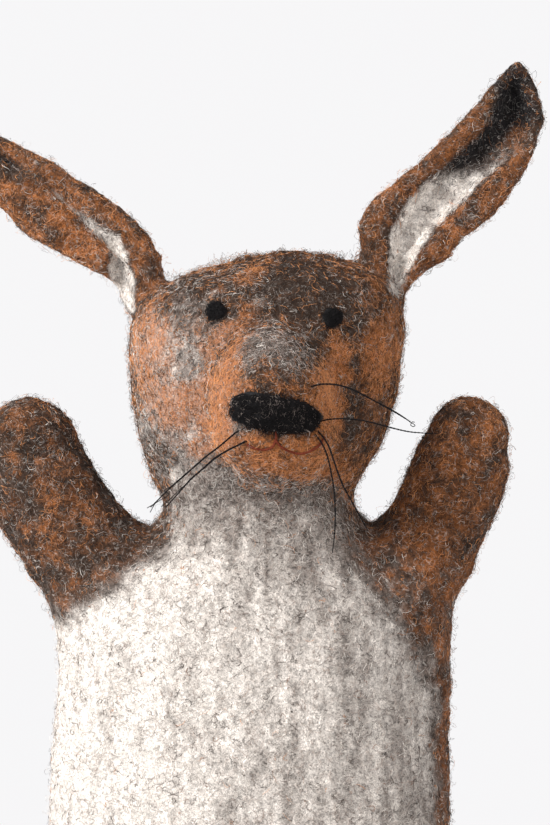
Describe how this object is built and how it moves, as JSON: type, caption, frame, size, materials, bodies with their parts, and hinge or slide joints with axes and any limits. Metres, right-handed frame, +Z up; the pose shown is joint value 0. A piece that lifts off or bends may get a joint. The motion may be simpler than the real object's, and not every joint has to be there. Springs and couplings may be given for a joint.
{
  "type": "hand puppet",
  "caption": "Felted wool glove puppet of a long-eared animal, with a stuffed head that takes a finger, two hollow arms, and an open hem for the hand.",
  "frame": {"origin": "middle of the hand opening, on the plane of the hem that the puppet stands on", "axes": "+Z up towards the head, -Y the way the face looks, +X the puppet's own left"},
  "size_m": [0.2008, 0.1025, 0.3315],
  "materials": {
    "mottled_wool": "wet felted wool, orange-brown, dark brown and grey",
    "white_wool": "wet felted wool, white and light grey",
    "core_wool": "undyed core wool",
    "black_wool": "needled black wool",
    "red_thread": "red-brown sewing thread",
    "black_thread": "stiff black thread"
  },
  "bodies": {
    "torso": {"body_glove": "mottled_wool", "belly_layer": "white_wool"},
    "throat": {"neck_collar": "mottled_wool"},
    "head": {"head_shell": "mottled_wool", "head_stuffing": "core_wool", "finger_pocket": "core_wool", "muzzle": "mottled_wool", "nose": "black_wool", "left_eye": "black_wool", "right_eye": "black_wool", "mouth_thread": "red_thread", "whisker_right_upper": "black_thread", "whisker_right_lower": "black_thread", "whisker_left_upper": "black_thread", "whisker_left_lower": "black_thread", "whisker_chin_inner": "black_thread", "whisker_chin_outer": "black_thread"},
    "left_arm": {"left_sleeve": "mottled_wool"},
    "left_hand": {"left_paw": "mottled_wool"},
    "right_arm": {"right_sleeve": "mottled_wool"},
    "right_hand": {"right_paw": "mottled_wool"},
    "left_ear": {"left_ear": "mottled_wool", "left_ear_lining": "white_wool"},
    "right_ear": {"right_ear": "mottled_wool", "right_ear_lining": "white_wool"}
  },
  "joints": [
    {"name": "head_tilt", "type": "hinge", "parent": "torso", "child": "throat", "pos_m": [0.001, -0.001, 0.181], "axis": [0, 1, 0], "range_deg": [-10, 10], "stiffness_Nm_per_rad": 1.2},
    {"name": "head_nod", "type": "hinge", "parent": "throat", "child": "head", "pos_m": [0.001, -0.001, 0.181], "axis": [1, 0, 0], "range_deg": [-12, 20], "stiffness_Nm_per_rad": 1.2},
    {"name": "left_arm_lift", "type": "hinge", "parent": "torso", "child": "left_arm", "pos_m": [0.054, 0, 0.166], "axis": [0, -1, 0], "range_deg": [-40, 3], "stiffness_Nm_per_rad": 0.15},
    {"name": "right_arm_lift", "type": "hinge", "parent": "torso", "child": "right_arm", "pos_m": [-0.052, 0, 0.163], "axis": [0, 1, 0], "range_deg": [-40, 3], "stiffness_Nm_per_rad": 0.15},
    {"name": "left_paw_curl", "type": "hinge", "parent": "left_arm", "child": "left_hand", "pos_m": [0.06539, 0, 0.19158], "axis": [0.9135, 0, -0.4067], "range_deg": [-10, 40], "stiffness_Nm_per_rad": 0.1},
    {"name": "right_paw_curl", "type": "hinge", "parent": "right_arm", "child": "right_hand", "pos_m": [-0.06471, 0, 0.18795], "axis": [0.891, 0, 0.454], "range_deg": [-10, 40], "stiffness_Nm_per_rad": 0.1},
    {"name": "left_ear_flop", "type": "hinge", "parent": "head", "child": "left_ear", "pos_m": [0.0415, 0.003, 0.256], "axis": [0.8339, 0, -0.5519], "range_deg": [-25, 30], "stiffness_Nm_per_rad": 0.06},
    {"name": "right_ear_flop", "type": "hinge", "parent": "head", "child": "right_ear", "pos_m": [-0.036, 0.003, 0.251], "axis": [0.6293, 0, 0.7771], "range_deg": [-25, 30], "stiffness_Nm_per_rad": 0.06}
  ]
}
